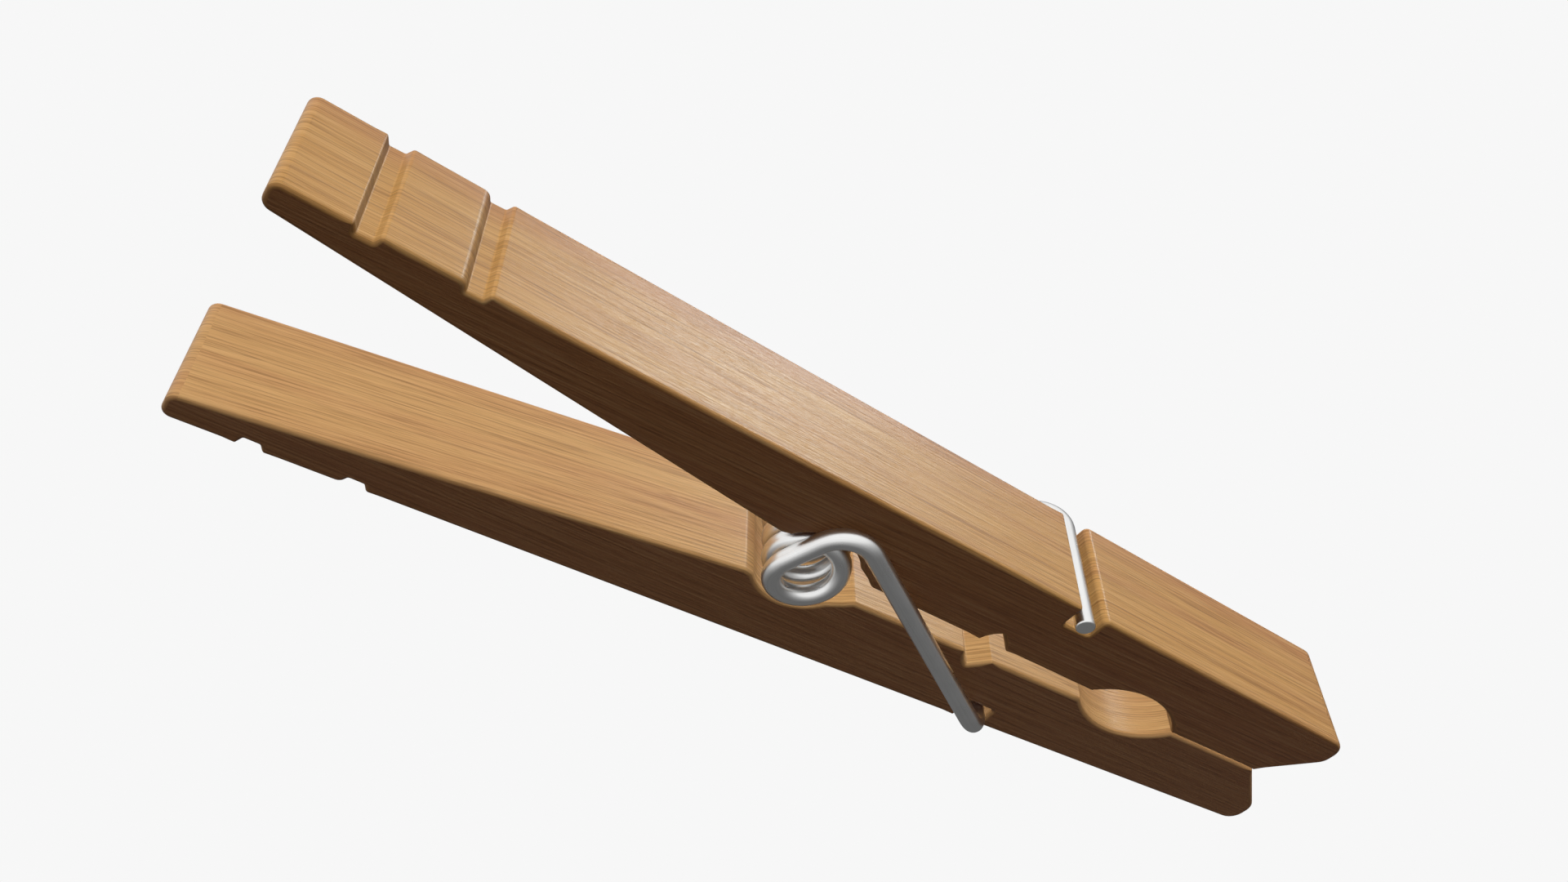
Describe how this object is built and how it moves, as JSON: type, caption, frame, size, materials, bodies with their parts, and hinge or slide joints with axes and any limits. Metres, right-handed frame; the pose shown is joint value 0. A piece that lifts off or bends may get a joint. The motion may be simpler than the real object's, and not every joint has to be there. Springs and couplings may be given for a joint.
{
  "type": "spring clothespin",
  "caption": "Wooden clothespin of two sawn halves that pivot on a wire torsion spring, with grip grooves, line groove and flat nose pads.",
  "frame": {"origin": "centre of the spring coil, on the hinge axis, midway across the width", "axes": "+X along the closed mid-plane towards the jaws, +Y along the hinge axis across the width, +Z towards the upper half"},
  "size_m": [0.0828, 0.0138, 0.0188],
  "materials": {
    "lower_wood": "satin, smooth sawn hardwood with fine lengthwise grain",
    "upper_wood": "satin, smooth sawn hardwood with fine lengthwise grain",
    "spring_steel": "bright drawn spring wire, satin"
  },
  "bodies": {
    "lower": {"lower_half": "lower_wood", "torsion_spring": "spring_steel"},
    "upper": {"upper_half": "upper_wood"}
  },
  "joints": [
    {"name": "squeeze", "type": "hinge", "parent": "lower", "child": "upper", "pos_m": [0, 0, 0], "axis": [0, -1, 0], "range_deg": [0, 21.5], "stiffness_Nm_per_rad": 0.1, "springref_deg": -5.73, "deforming": ["torsion_spring"]}
  ]
}
